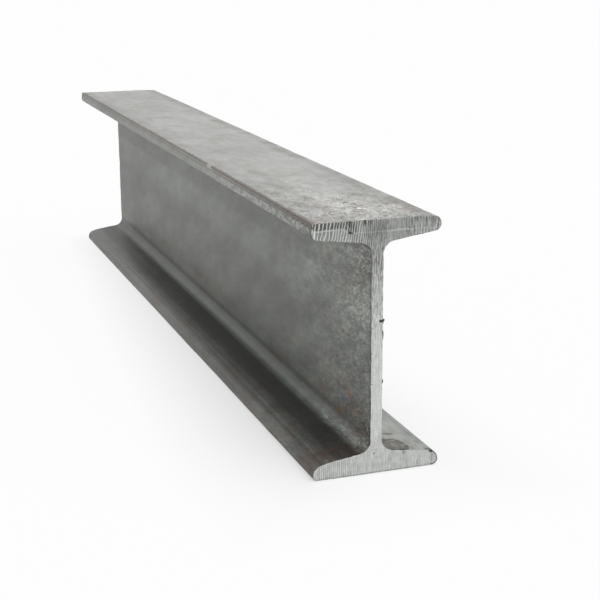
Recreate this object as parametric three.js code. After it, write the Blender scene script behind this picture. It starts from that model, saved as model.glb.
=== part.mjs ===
// A short length of hot-rolled steel I-beam with tapered flanges, sawn square at both ends.
// It is one rolled bar, so it is one solid: a section drawn once and run along the length.
// Units are millimetres and +Z is up. The beam lies along Y on its bottom flange, and its web
// stands upright in the YZ plane. The origin is at the middle of the length, at the centre of
// the bottom flange's underside.

import * as THREE from "three";

// Driving dimensions of the rolled section.
const DEPTH = 80; // over both flanges
const FLANGE_WIDTH = 42;
const WEB_THICKNESS = 3.9;
const FLANGE_THICKNESS = 6.2; // measured halfway between the middle of the section and the toe
const FLANGE_TAPER = 0.14; // how much each flange thins for each unit of its width
const ROOT_RADIUS = 3.9; // the hollow where the web runs out into a flange
const TOE_RADIUS = 2.3; // the inner edge of each toe

// The rolls wear unevenly, so the outer edges of the four toes differ.
const TOP_LEFT_EDGE_RADIUS = 0.4;
const TOP_RIGHT_EDGE_RADIUS = 2.3;
const BOTTOM_LEFT_EDGE_RADIUS = 1.2;
const BOTTOM_RIGHT_EDGE_RADIUS = 2;

// The cut.
const LENGTH = 360; // between the two sawn ends

const ARC_SEGMENTS = 8; // each rounded corner gets twice as many facets

// Thickness of a tapered flange at a distance x from the middle of the section.
function flangeThicknessAt(x) {
  return FLANGE_THICKNESS + FLANGE_TAPER * (FLANGE_WIDTH / 4 - x);
}

// The six sharp corners of one half of the section, from its bottom edge to its top edge.
// The side is 1 for the right half and -1 for the left.
function halfSection(side, bottomEdgeRadius, topEdgeRadius) {
  const toeX = FLANGE_WIDTH / 2;
  const webX = WEB_THICKNESS / 2;
  const toeThickness = flangeThicknessAt(toeX);
  const rootThickness = flangeThicknessAt(webX);
  return [
    { x: side * toeX, y: 0, radius: bottomEdgeRadius },
    { x: side * toeX, y: toeThickness, radius: TOE_RADIUS },
    { x: side * webX, y: rootThickness, radius: ROOT_RADIUS },
    { x: side * webX, y: DEPTH - rootThickness, radius: ROOT_RADIUS },
    { x: side * toeX, y: DEPTH - toeThickness, radius: TOE_RADIUS },
    { x: side * toeX, y: DEPTH, radius: topEdgeRadius },
  ];
}

// What rounding a corner needs: the directions of its two sides, half the angle between them,
// and how far back from the corner an arc of its radius touches them.
function cornerGeometry(corners, index) {
  const corner = corners[index];
  const at = new THREE.Vector2(corner.x, corner.y);
  const before = corners[(index + corners.length - 1) % corners.length];
  const after = corners[(index + 1) % corners.length];
  const back = new THREE.Vector2(before.x, before.y).sub(at);
  const ahead = new THREE.Vector2(after.x, after.y).sub(at);
  const sideBehind = back.length();
  const sideAhead = ahead.length();
  back.normalize();
  ahead.normalize();
  const halfAngle = Math.acos(back.dot(ahead)) / 2;
  const setback = corner.radius / Math.tan(halfAngle);
  return { at, back, ahead, sideBehind, sideAhead, halfAngle, setback, radius: corner.radius };
}

// A closed outline whose corners are rounded by arcs that touch both sides. Where two arcs
// would meet on a short side, both shrink until they fit it.
function roundedOutline(corners) {
  const outline = new THREE.Shape();
  const rounds = corners.map((corner, index) => cornerGeometry(corners, index));
  rounds.forEach((round, index) => {
    const before = rounds[(index + rounds.length - 1) % rounds.length];
    const after = rounds[(index + 1) % rounds.length];
    const fit = Math.min(
      1,
      round.sideBehind / (before.setback + round.setback),
      round.sideAhead / (round.setback + after.setback),
    );
    const radius = round.radius * fit;
    const start = round.at.clone().addScaledVector(round.back, round.setback * fit);
    const end = round.at.clone().addScaledVector(round.ahead, round.setback * fit);
    const inward = round.back.clone().add(round.ahead).normalize();
    const centre = round.at.clone().addScaledVector(inward, radius / Math.sin(round.halfAngle));
    const startAngle = Math.atan2(start.y - centre.y, start.x - centre.x);
    const endAngle = Math.atan2(end.y - centre.y, end.x - centre.x);
    const clockwise = round.back.cross(round.ahead) > 0;
    outline.absarc(centre.x, centre.y, radius, startAngle, endAngle, clockwise);
  });
  outline.closePath();
  return outline;
}

// The whole section, counter-clockwise, with its underside on y = 0.
function beamSection() {
  const right = halfSection(1, BOTTOM_RIGHT_EDGE_RADIUS, TOP_RIGHT_EDGE_RADIUS);
  const left = halfSection(-1, BOTTOM_LEFT_EDGE_RADIUS, TOP_LEFT_EDGE_RADIUS);
  return roundedOutline([...right, ...left.reverse()]);
}

// Hot-rolled steel under its grey mill scale.
function rolledSteel() {
  return new THREE.MeshStandardMaterial({ color: 0x8b8c8a, roughness: 0.55, metalness: 0.85 });
}

// The section is drawn upright in XY and runs along +Z, then is turned to lie along Y.
function makeBeam() {
  const geometry = new THREE.ExtrudeGeometry(beamSection(), {
    depth: LENGTH,
    curveSegments: ARC_SEGMENTS,
    bevelEnabled: false,
  });
  const beam = new THREE.Mesh(geometry, rolledSteel());
  beam.name = "i_beam";
  beam.rotation.x = Math.PI / 2;
  beam.position.y = LENGTH / 2;
  return beam;
}

const group = new THREE.Group();
group.add(makeBeam());

export default group;
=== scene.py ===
# The looks of a short length of hot-rolled steel I-beam, sawn square at both ends.
#
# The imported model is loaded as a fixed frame, and the beam is made again over its one node by
# Geometry Nodes: the section is swept along the length, the skin that the rolls left is pressed
# into it, and two slabs that carry the marks of the saw cut its ends off. Plain sizes below are
# millimetres and plain angles are degrees, the frame and the finished mesh are metres, and both
# share one set of axes: the beam lies along Y with its web upright, and the near end is the one
# towards -Y.

import math

import bmesh
import bpy
from mathutils import Matrix, Vector


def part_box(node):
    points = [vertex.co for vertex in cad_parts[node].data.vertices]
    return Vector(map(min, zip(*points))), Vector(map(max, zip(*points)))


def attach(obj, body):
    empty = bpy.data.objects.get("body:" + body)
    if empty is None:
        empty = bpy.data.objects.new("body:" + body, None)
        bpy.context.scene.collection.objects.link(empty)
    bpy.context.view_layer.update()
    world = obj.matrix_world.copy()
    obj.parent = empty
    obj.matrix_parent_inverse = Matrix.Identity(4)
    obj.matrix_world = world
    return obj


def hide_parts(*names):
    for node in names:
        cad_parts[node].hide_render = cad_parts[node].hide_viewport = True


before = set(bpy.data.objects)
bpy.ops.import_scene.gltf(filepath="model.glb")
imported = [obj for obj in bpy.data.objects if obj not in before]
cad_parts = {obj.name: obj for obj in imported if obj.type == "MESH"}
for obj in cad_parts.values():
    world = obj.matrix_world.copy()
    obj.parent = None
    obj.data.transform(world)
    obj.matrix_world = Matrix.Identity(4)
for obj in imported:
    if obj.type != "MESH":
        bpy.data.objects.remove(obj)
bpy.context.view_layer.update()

bl_info = {
    "name": "Rolled steel beam",
    "version": (1, 0, 0),
    "blender": (4, 5, 0),
    "location": "3D View > Sidebar > Steel Beam",
    "description": "Makes a sawn length of hot-rolled steel I-beam and a plain studio for it",
    "category": "Object",
}

MM = 0.001
PER_MM = 1 / MM

# The beam's reach comes from the frame, and the rest of its section from the rolling standard.
CAD_NODE = "i_beam"
BEAM_LOW, BEAM_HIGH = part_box(CAD_NODE)
WIDTH = (BEAM_HIGH.x - BEAM_LOW.x) * PER_MM
DEPTH = (BEAM_HIGH.z - BEAM_LOW.z) * PER_MM
LENGTH = (BEAM_HIGH.y - BEAM_LOW.y) * PER_MM
TOE = WIDTH / 2
NEAR_END = BEAM_LOW.y * PER_MM

OVERRUN = 2.0  # how far the swept bar runs past each saw cut
SLAB = 4.0  # thickness of the slabs that cut the ends off
SLAB_MARGIN = 1.0  # how far a slab stands out past the section all round
FOOT_BEND_SHARE = 0.39  # where the worn foot starts to thin, as a share of the width

# The commonest kinds of node. Their inputs are given in order: a map range takes a value, the
# limits that it comes from and the limits that it goes to, 0 and 1 where none are given.
MATH = "ShaderNodeMath"
VECTOR_MATH = "ShaderNodeVectorMath"
MAP_RANGE = "ShaderNodeMapRange"

BOTH_WAYS = (-1, 1)  # for a pattern that swings round a plain level


def linear(hex_colour):
    """A linear RGBA colour from an sRGB hex string such as 8b8c8a."""
    channels = [int(hex_colour[place:place + 2], 16) / 255 for place in (0, 2, 4)]
    curved = [c / 12.92 if c <= 0.04045 else ((c + 0.055) / 1.055) ** 2.4 for c in channels]
    return (*curved, 1.0)


def add(tree, kind, links=(), out=0, **settings):
    """Adds a node with its settings and gives back one of its outputs.

    Its inputs get values or sockets, either in order or by the inputs' names or numbers.
    """
    node = tree.nodes.new(kind)
    for name, value in settings.items():
        setattr(node, name, value)
    for key, source in links.items() if isinstance(links, dict) else enumerate(links):
        if isinstance(source, bpy.types.NodeSocket):
            tree.links.new(source, node.inputs[key])
        else:
            node.inputs[key].default_value = source
    return node.outputs[out] if node.outputs else node


def new_object(name, data):
    """An object of this data, in the scene."""
    made = bpy.data.objects.new(name, data)
    bpy.context.scene.collection.objects.link(made)
    return made


def empty_tree(owner):
    """The node tree of a material or a world, with nothing in it."""
    owner.use_nodes = True
    owner.node_tree.nodes.clear()
    return owner.node_tree


# ---- Patterns, which the relief and the finishes share -----------

def patches(tree, place, size, low, high, to=(0, 1), seed=0, detail=2):
    """Cloudy patches of this size in millimetres, rising from one value to the other."""
    stretch = [1 / side for side in size]
    shrunk = add(
        tree, VECTOR_MATH, (place, stretch, (seed, seed, seed)), operation="MULTIPLY_ADD")
    cloud = add(tree, "ShaderNodeTexNoise", {"Vector": shrunk, "Scale": 1, "Detail": detail})
    return add(tree, MAP_RANGE, (cloud, low, high, *to), interpolation_type="SMOOTHSTEP")


def patch_set(tree, place, table, to=(0, 1)):
    """The patches of a table, by name."""
    return {
        name: patches(tree, place, size, low, high, to, seed, detail)
        for name, (size, low, high, seed, detail) in table.items()
    }


def zone(tree, *limits):
    """1 where each value lies between its limits, fading to 0 over a soft edge outside them."""
    share = 1.0
    for value, low, high, soft in limits:
        for edge, outwards in ((low, -soft), (high, soft)):
            if edge is None:
                continue
            inside = add(
                tree, MAP_RANGE, (value, edge + outwards, edge), interpolation_type="SMOOTHSTEP")
            share = add(tree, MATH, (inside, share), operation="MULTIPLY")
    return share


def zone_set(tree, where, table):
    """The zones of a table, by name. Each row limits some of a point's named coordinates."""
    return {
        name: zone(tree, *((where[axis], *limits) for axis, *limits in row))
        for name, row in table.items()
    }


def coordinates(tree, place):
    """A point's x, y and z, and how far it is from the web's middle and from the near end."""
    x, y, z = add(tree, "ShaderNodeSeparateXYZ", (place,)).node.outputs
    across = add(tree, MATH, (x,), operation="ABSOLUTE")
    from_end = add(tree, MATH, (y, NEAR_END), operation="SUBTRACT")
    return {"x": x, "y": y, "z": z, "across": across, "from_end": from_end}


def overlap(tree, *shares):
    """Where all of these patterns meet."""
    meeting = shares[0]
    for share in shares[1:]:
        meeting = add(tree, MATH, (meeting, share), operation="MULTIPLY")
    return meeting


def meeting_of(tree, parts, names):
    """Where all of these named patterns meet. One with a minus sign before it is taken out."""
    shares = []
    for name in names.split():
        share = parts[name.lstrip("-")]
        if name.startswith("-"):
            share = add(tree, MATH, (1.0, share), operation="SUBTRACT")
        shares.append(share)
    return overlap(tree, *shares)


def tinted(tree, colour, parts, palette, tints):
    """A colour turned towards others of a palette, row by row: where, how far and to which."""
    for names, most, tint in tints:
        amount = add(tree, MATH, (meeting_of(tree, parts, names), most), operation="MULTIPLY")
        colour = add(
            tree, "ShaderNodeMix", {0: amount, 6: colour, 7: getattr(palette, tint)}, 2,
            data_type="RGBA")
    return colour


def shaded(tree, level, parts, shades):
    """A brightness raised or lowered by a part of itself, row by row: where and by how much."""
    for names, change in shades:
        swing = add(
            tree, MATH, (meeting_of(tree, parts, names), change, 1.0), operation="MULTIPLY_ADD")
        level = add(tree, MATH, (level, swing), operation="MULTIPLY")
    return level


def ragged_distance(tree, place, centre, reach, ragged):
    """How far a point is from a place, as a share of this reach in millimetres, and ragged."""
    stretch = [1 / side for side in reach]
    shift = [-where / side for where, side in zip(centre, reach)]
    lumps = 1.6
    near = add(tree, VECTOR_MATH, (place, stretch, shift), operation="MULTIPLY_ADD")
    distance = add(tree, VECTOR_MATH, (near,), "Value", operation="LENGTH")
    wobble = add(tree, "ShaderNodeTexNoise", {"Vector": near, "Scale": lumps, "Detail": 2})
    centred = add(tree, MATH, (wobble, 0.5), operation="SUBTRACT")
    return add(tree, MATH, (centred, 2 * ragged, distance), operation="MULTIPLY_ADD")


def marked(tree, place, marks):
    """How strong these ragged spots are at a point, each placed by its distance from the end."""
    ragged, core, soft = 0.5, 0.6, 0.5
    share = 0.0
    for (across, from_end, height), reach, strength in marks:
        centre = (across, NEAR_END + from_end, height)
        distance = ragged_distance(tree, place, centre, reach, ragged)
        mark = overlap(tree, zone(tree, (distance, None, core, soft)), strength)
        share = add(tree, MATH, (mark, share), operation="MAXIMUM")
    return share


# ---- Sizes and colours a user would change -----------------------

def length_property(name, description, millimetres):
    """A length setting with its default in millimetres."""
    return bpy.props.FloatProperty(
        name=name, description=description, default=millimetres * MM, min=0.0,
        subtype="DISTANCE", unit="LENGTH", precision=5)


def colour_property(name, description, hex_colour):
    """A colour setting with its default as an sRGB hex string."""
    return bpy.props.FloatVectorProperty(
        name=name, description=description, default=linear(hex_colour), size=4,
        min=0.0, max=1.0, subtype="COLOR")


class BeamSection(bpy.types.PropertyGroup):
    """The section that the rolls left."""
    web: length_property("Web", "Thickness of the web", 3.9)
    flange: length_property("Flange", "Flange thickness halfway out to the toe", 6.2)
    taper: bpy.props.FloatProperty(
        name="Taper", description="How much a flange thins for each unit of its width",
        default=0.14, min=0.0, subtype="FACTOR")
    root_radius: length_property("Root radius", "Hollow between the web and a flange", 3.9)
    top_right_inner: length_property("Top right", "Inner edge of that toe", 2.6)
    top_left_inner: length_property("Top left", "Inner edge of that toe", 1.9)
    foot_right_radius: length_property("Foot right", "Inner edge of that toe", 3.0)
    foot_left_radius: length_property("Foot left", "Inner edge of that toe", 3.0)
    top_left_radius: length_property("Top left edge", "Outer edge of that toe", 0.25)
    top_right_radius: length_property("Top right edge", "Outer edge of that toe", 2.6)
    bottom_left_radius: length_property("Bottom left edge", "Outer edge of that toe", 1.2)
    bottom_right_radius: length_property("Bottom right edge", "Outer edge of that toe", 2.0)
    droop: length_property("Droop", "How far the top face falls away to the right", 0.35)
    toe_wear: length_property("Toe wear", "How much the top right toe is rolled short", 0.3)
    foot_wear: length_property("Foot wear", "How much the left foot toe is rolled short", 0.4)
    foot_drop: length_property("Foot drop", "How much that toe is rolled thin", 0.7)
    lap_depth: length_property("Lap depth", "Step that the rolls folded into one toe", 0.30)
    lap_height: length_property("Lap height", "Height of the stepped-back band", 1.25)
    facet: length_property("Facet", "Widest facet across the section", 1.1)
    arc_steps: bpy.props.IntProperty(
        name="Arc steps", description="Facets on each rounded corner", default=7, min=2)
    rings: bpy.props.IntProperty(
        name="Rings", description="Sections along the length", default=185, min=2)


class RolledSkin(bpy.types.PropertyGroup):
    """The relief and colours of the hot-rolled surface."""
    wave_depth: length_property("Wave", "Slow waviness of the rolled faces", 0.10)
    streak_depth: length_property("Streaks", "Marks drawn out along the length", 0.04)
    flake_depth: length_property("Flakes", "Where scale has come away", 0.05)
    chip_depth: length_property("Chips", "Raggedness of the sawn edges", 0.14)
    crust_depth: length_property("Crust", "Roughness of the lapped toe", 0.14)
    pit_radius: length_property("Pit", "Largest pit where scale was rolled in", 0.40)
    inside: colour_property("Inside", "Mill scale on the web and inner faces", "7b7e79")
    # The top face's paler colour is partly worn scale and partly painted light from above.
    outside: colour_property("Outside", "Scale worn lighter on the top face", "9fa09d")
    root: colour_property("Root", "Smoother, greener scale along the root", "7d8781")
    crust: colour_property("Crust colour", "Pale crust on the lapped toe", "b4b3b0")
    fleck: colour_property("Fleck", "Spots rubbed bright on the top face", "eeeeea")
    bloom: colour_property("Bloom", "Thin red rust low down near the cut", "5e3f38")
    brown: colour_property("Brown", "Thin brown oxide in patches", "75695f")
    rust: colour_property("Rust", "Small spots of fresh rust", "8a6534")
    grease: colour_property("Grease", "The oval smear on the foot", "423e30")
    soot: colour_property("Soot", "Dark smudges and the bottoms of pits", "2e2b28")


class SawCut(bpy.types.PropertyGroup):
    """The marks and colours of the sawn ends."""
    ridge_pitch: length_property("Ridge pitch", "Spacing of the coarse ridges", 1.37)
    ridge_depth: length_property("Ridge depth", "Depth of the coarse ridges", 0.16)
    scratch_depth: length_property("Scratch depth", "Depth of the fine strokes", 0.10)
    rim_wear: length_property("Rim wear", "How far the edge of the cut has crumbled", 0.12)
    bright: colour_property("Bright", "Freshly cut steel", "c9cbc8")
    # Painted shade: this colour darkens the furrows, where shade falls in them.
    dark: colour_property("Dark", "Steel in the saw's furrows", "5c5e5a")
    pale: colour_property("Pale", "The line where the saw was set back", "c6c8c4")
    # This colour also paints the shadow along the cut's bottom rim.
    speck_and_rim_shadow: colour_property("Speck", "Rolled-in scale laid bare by the saw", "3a3630")
    stain: colour_property("Stain", "A touch of rust in the cut", "5c4632")


class Studio(bpy.types.PropertyGroup):
    """The plain stage round the beam."""
    floor_colour: colour_property("Floor", "Pale matt floor", "e5e6e6")
    key_strength: bpy.props.FloatProperty(
        name="Key", description="Soft light from above and to the right", default=2.6, min=0.0)
    fill: bpy.props.FloatProperty(
        name="Fill", description="Plain light from all round", default=0.42, min=0.0)


# ---- The bar: a section swept along the length -------------------

def section_corners(section):
    """The sharp corners of the section, counter-clockwise, each with the radius that rounds it."""
    web = section.web * PER_MM / 2
    flange = section.flange * PER_MM
    toe_thickness = flange + section.taper * (WIDTH / 4 - TOE)
    root_thickness = flange + section.taper * (WIDTH / 4 - web)
    lap_in = section.lap_depth * PER_MM
    lap_top = DEPTH - section.lap_height * PER_MM
    lap_edge = lap_in / 2
    top_right = TOE - section.toe_wear * PER_MM
    foot_left = TOE - section.foot_wear * PER_MM
    foot_left_thickness = toe_thickness - section.foot_drop * PER_MM
    foot_bend = WIDTH * FOOT_BEND_SHARE
    foot_bend_thickness = flange + section.taper * (WIDTH / 4 - foot_bend)
    drooped = DEPTH - section.droop * PER_MM
    root = section.root_radius * PER_MM
    gentle = TOE
    return [
        (TOE, 0, section.bottom_right_radius * PER_MM),
        (TOE, toe_thickness, section.foot_right_radius * PER_MM),
        (web, root_thickness, root),
        (web, DEPTH - root_thickness, root),
        (top_right, DEPTH - toe_thickness, section.top_right_inner * PER_MM),
        (top_right, drooped, section.top_right_radius * PER_MM),
        (WIDTH / 4, DEPTH, gentle),
        (lap_in - TOE, DEPTH, section.top_left_radius * PER_MM),
        (lap_in - TOE, lap_top, lap_edge),
        (-TOE, lap_top - lap_in, lap_edge),
        (-TOE, DEPTH - toe_thickness, section.top_left_inner * PER_MM),
        (-web, DEPTH - root_thickness, root),
        (-web, root_thickness, root),
        (-foot_bend, foot_bend_thickness, gentle),
        (-foot_left, foot_left_thickness, section.foot_left_radius * PER_MM),
        (-foot_left, 0, section.bottom_left_radius * PER_MM),
    ]


def corner_mesh(corners):
    """The section's corners as a closed loop of edges, with each radius as an attribute."""
    mesh = bpy.data.meshes.new("section_corners")
    points = [(x * MM, height * MM, 0) for x, height, _ in corners]
    edges = [(index, (index + 1) % len(points)) for index in range(len(points))]
    mesh.from_pydata(points, edges, [])
    rounding = mesh.attributes.new("round", "FLOAT", "POINT")
    rounding.data.foreach_set("value", [radius * MM for *_, radius in corners])
    return mesh


def section_curve(tree, corners, sizes):
    """The corners rounded by arcs, with no facet wider than the size asked for."""
    loop = add(tree, "GeometryNodeMeshToCurve", {"Mesh": corners})
    radius = add(tree, "GeometryNodeInputNamedAttribute", {"Name": "round"}, data_type="FLOAT")
    curve = add(
        tree, "GeometryNodeFilletCurve",
        {"Curve": loop, "Radius": radius, "Count": sizes["Arc Steps"], "Limit Radius": True},
        mode="POLY")
    count = add(
        tree, "GeometryNodeAttributeDomainSize", (curve,), "Point Count", component="CURVE")
    here = add(tree, "GeometryNodeInputPosition")
    index = add(tree, "GeometryNodeInputIndex")
    following = add(tree, MATH, (index, 1.0), operation="ADD")
    wrapped = add(tree, MATH, (following, count), operation="MODULO")
    ahead = add(
        tree, "GeometryNodeFieldAtIndex", {"Index": wrapped, "Value": here},
        data_type="FLOAT_VECTOR", domain="POINT")
    side = add(tree, VECTOR_MATH, (here, ahead), "Value", operation="DISTANCE")
    cuts = add(tree, MATH, (side, sizes["Facet"]), operation="DIVIDE")
    return add(tree, "GeometryNodeSubdivideCurve", {"Curve": curve, "Cuts": cuts})


def length_rail(tree, sizes):
    """A line along Y through both saw cuts, with its points closer together near its ends."""
    evenness = 0.15  # 0 would crowd the points all the way, and 1 would space them evenly
    line = add(tree, "GeometryNodeCurvePrimitiveLine", {"Start": (0, 1, 0), "End": (0, -1, 0)})
    points = add(tree, "GeometryNodeResampleCurve", {"Curve": line, "Count": sizes["Rings"]})
    here = add(tree, "GeometryNodeInputPosition")
    along = add(tree, "ShaderNodeSeparateXYZ", (here,), "Y")
    turn = add(tree, MATH, (along, math.pi / 2), operation="MULTIPLY")
    crowded = add(tree, MATH, (turn,), operation="SINE")
    spread = add(tree, "ShaderNodeMix", {0: evenness, 2: crowded, 3: along}, data_type="FLOAT")
    half = add(tree, MATH, (sizes["Length"], 0.5, OVERRUN * MM), operation="MULTIPLY_ADD")
    station = add(tree, MATH, (spread, half), operation="MULTIPLY")
    place = add(tree, "ShaderNodeCombineXYZ", {"Y": station})
    moved = add(tree, "GeometryNodeSetPosition", {"Geometry": points, "Position": place})
    upright = add(tree, "GeometryNodeSetCurveNormal", {"Curve": moved}, mode="Z_UP")
    return add(tree, "GeometryNodeSetCurveTilt", {"Curve": upright, "Tilt": math.pi})


def rolled_bar(tree, section, sizes):
    """The section swept along the whole length, a little past both saw cuts."""
    return add(
        tree, "GeometryNodeCurveToMesh",
        {"Curve": length_rail(tree, sizes), "Profile Curve": section, "Fill Caps": True})


# ---- The skin: what the rolls, the scale and the saw left on the bar ----

def millimetre_place(tree):
    """Where a point of the mesh is, in millimetres, as a vector and as x, y and z."""
    here = add(tree, "GeometryNodeInputPosition")
    place = add(tree, VECTOR_MATH, {0: here, "Scale": PER_MM}, operation="SCALE")
    x, y, z = add(tree, "ShaderNodeSeparateXYZ", (place,)).node.outputs
    return place, x, y, z


def end_nearness(tree, y, reach):
    """1 at either saw cut, falling to 0 at this many millimetres from it."""
    out = add(tree, MATH, (y,), operation="ABSOLUTE")
    return add(tree, MAP_RANGE, (out, LENGTH / 2 - reach, LENGTH / 2))


def rolled_skin(tree, bar, sizes):
    """Presses the rolled relief into the bar. It only goes inwards, so the bar keeps its size."""
    place, x, y, z = millimetre_place(tree)
    wave = patches(tree, place, (26, 70, 26), 0.25, 0.75)
    streak = patches(tree, place, (2.2, 45, 2.2), 0.25, 0.75)
    bare = patches(tree, place, (6, 9, 6), 0.5, 0.6, detail=4)
    chip = patches(tree, place, (0.7, 0.7, 0.7), 0.45, 0.7)
    broken_edge = overlap(tree, chip, end_nearness(tree, y, reach=0.9))
    crust = patches(tree, place, (1.4, 2.2, 1.4), 0.35, 0.65, detail=3)
    lapped_toe = zone(tree, (x, None, 0.3 - TOE, 0.4), (z, DEPTH - 3.8, DEPTH - 1.3, 0.4))
    toe_crust = overlap(tree, crust, lapped_toe)
    depth = 0.0
    for share, size in (
            (wave, "Wave"), (streak, "Streaks"), (bare, "Flakes"),
            (broken_edge, "Chips"), (toe_crust, "Crust")):
        depth = add(tree, MATH, (share, sizes[size], depth), operation="MULTIPLY_ADD")
    inwards = add(tree, MATH, (depth, -1.0), operation="MULTIPLY")
    normal = add(tree, "GeometryNodeInputNormal")
    move = add(tree, VECTOR_MATH, {0: normal, "Scale": inwards}, operation="SCALE")
    return add(tree, "GeometryNodeSetPosition", {"Geometry": bar, "Offset": move})


# ---- The saw cuts ------------------------------------------------

# The patterns of a cut hardly change along the beam, but differ between its two ends.
ALONG = 30.0


def stroke_furrows(tree, place, pitch, lean=0.0, crowding=0.0):
    """0 on the thin crests and 1 in the furrows of saw strokes this far apart.

    They lean by this many degrees from upright, and crowd together away from the left toe.
    """
    slope = math.tan(math.radians(lean))
    across = add(tree, VECTOR_MATH, (place, (1, 0, -slope)), "Value", operation="DOT_PRODUCT")
    strokes = add(tree, MATH, (across, pitch), operation="DIVIDE")
    from_toe = add(tree, MATH, (across, TOE + DEPTH * slope), operation="ADD")
    squared = add(tree, MATH, (from_toe, from_toe), operation="MULTIPLY")
    crowded = add(tree, MATH, (squared, crowding, strokes), operation="MULTIPLY_ADD")
    wander = patches(tree, place, (4, ALONG, 25), 0.2, 0.8, to=(0, 0.8), detail=3)
    jitter = patches(tree, place, (1.5, ALONG, 2.5), 0.3, 0.7, to=(-0.13, 0.13), seed=24)
    steered = add(tree, MATH, (crowded, wander), operation="ADD")
    turns = add(tree, MATH, (steered, jitter), operation="ADD")
    angle = add(tree, MATH, (turns, 2 * math.pi), operation="MULTIPLY")
    swing = add(tree, MATH, (angle,), operation="COSINE")
    return add(tree, MAP_RANGE, (swing, 1.0, 0.0), interpolation_type="SMOOTHSTEP")


def above_set_back(tree, x, z):
    """How far a point of a cut lies above the line where the saw was set back to its work."""
    step_start, step_end = -11, -8.5
    height_left, height_right = DEPTH - 2.3, DEPTH - 3.7
    line = add(
        tree, MAP_RANGE, (x, step_start, step_end, height_left, height_right),
        interpolation_type="SMOOTHSTEP")
    along_line = add(tree, "ShaderNodeCombineXYZ", (x,))
    sway = patches(tree, along_line, (5, 5, 5), 0.3, 0.7, to=(-0.2, 0.2), seed=26)
    swayed = add(tree, MATH, (line, sway), operation="ADD")
    return add(tree, MATH, (z, swayed), operation="SUBTRACT")


# Where each kind of the saw's strokes shows on a cut. "above" is the height over the line where
# the saw was set back to its work.
STROKE_ZONES = {
    "top_left": [("x", None, -5, 4), ("z", DEPTH - 10, None, 4)],
    "set_back": [("above", 0.2, None, 0.3), ("x", None, -9, 4)],
    "right_of_web": [("x", 10.5, None, 2.5), ("z", DEPTH - 10, None, 3)],
    "neck": [("x", -2.5, 2.2, 3), ("z", 66, None, 7)],
    "scored": [("z", 52, None, 25), ("x", -3, None, 4)],
    "foot_left": [("x", None, -9, 4), ("z", None, 5, 4)],
    "foot_right": [("x", 5, None, 2), ("z", None, 6, 2)],
}
# The saw's marks: the strokes, where they show, the depth they take and how much of it.
FURROWS = [
    ("coarse", "top_left", "Ridge Depth", 0.65),
    ("coarse", "deeper_left", "Ridge Depth", 0.5),
    ("middling", "top_right", "Ridge Depth", 0.55),
    ("fine", "neck", "Ridge Depth", 0.55),
    ("close", "foot_left", "Ridge Depth", 0.35),
    ("broad", "foot_right", "Ridge Depth", 0.13),
    ("dashes", "scored", "Scratch Depth", 0.32),
    ("dashes", "everywhere", "Scratch Depth", 0.26),
]


def saw_furrows(tree, place, sizes):
    """How deep the saw went below its highest marks at a point of a cut."""
    x, _, z = add(tree, "ShaderNodeSeparateXYZ", (place,)).node.outputs
    where = {"x": x, "z": z, "above": above_set_back(tree, x, z)}
    coarse_pitch = add(tree, MATH, (sizes["Ridge Pitch"], PER_MM), operation="MULTIPLY")
    uneven = patches(tree, place, (1.3, ALONG, 2.2), 0.3, 0.6, to=(0.35, 1))
    parts = {
        "coarse": stroke_furrows(tree, place, coarse_pitch, lean=9, crowding=0.02),
        "middling": stroke_furrows(tree, place, pitch=0.95, lean=3),
        "close": stroke_furrows(tree, place, pitch=0.64),
        "fine": stroke_furrows(tree, place, pitch=0.58, lean=2),
        "dashes": patches(tree, place, (0.4, ALONG, 3), 0.5, 0.64, detail=1),
        "broad": patches(tree, place, (1.6, ALONG, 9), 0.35, 0.65, detail=1),
        "everywhere": 1.0,
        **zone_set(tree, where, STROKE_ZONES),
    }
    parts["deeper_left"] = overlap(tree, parts["top_left"], parts["set_back"], uneven)
    parts["top_right"] = overlap(tree, parts["right_of_web"], uneven)
    depth = 0.0
    for furrow, showing, size, share in FURROWS:
        marks = overlap(tree, parts[furrow], parts[showing])
        reach = overlap(tree, sizes[size], share)
        depth = add(tree, MATH, (marks, reach, depth), operation="MULTIPLY_ADD")
    return depth


def crumbled_rim(tree, depth, sizes):
    """The depth of the saw's marks, and more along the rim of the cut, where it has crumbled."""
    rim = add(tree, "GeometryNodeInputNamedAttribute", {"Name": "rim"}, data_type="FLOAT")
    reach = 0.4
    worn = add(tree, MAP_RANGE, (rim, reach, 0.0), interpolation_type="SMOOTHSTEP")
    return add(tree, MATH, (worn, sizes["Rim Wear"], depth), operation="MULTIPLY_ADD")


def rim_distance(tree, section, sizes, side):
    """How far a point of a saw cut is from the section's outline, in millimetres."""
    outline = add(tree, "GeometryNodeCurveToMesh", {"Curve": section})
    station = add(tree, MATH, (sizes["Length"], side / 2), operation="MULTIPLY")
    at_cut = add(tree, "ShaderNodeCombineXYZ", {"Y": station})
    stood_up = add(
        tree, "GeometryNodeTransform",
        {"Geometry": outline, "Translation": at_cut, "Rotation": (math.pi / 2, 0, 0)})
    distance = add(tree, "GeometryNodeProximity", (stood_up,), "Distance", target_element="EDGES")
    return add(tree, MATH, (distance, PER_MM), operation="MULTIPLY")


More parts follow.
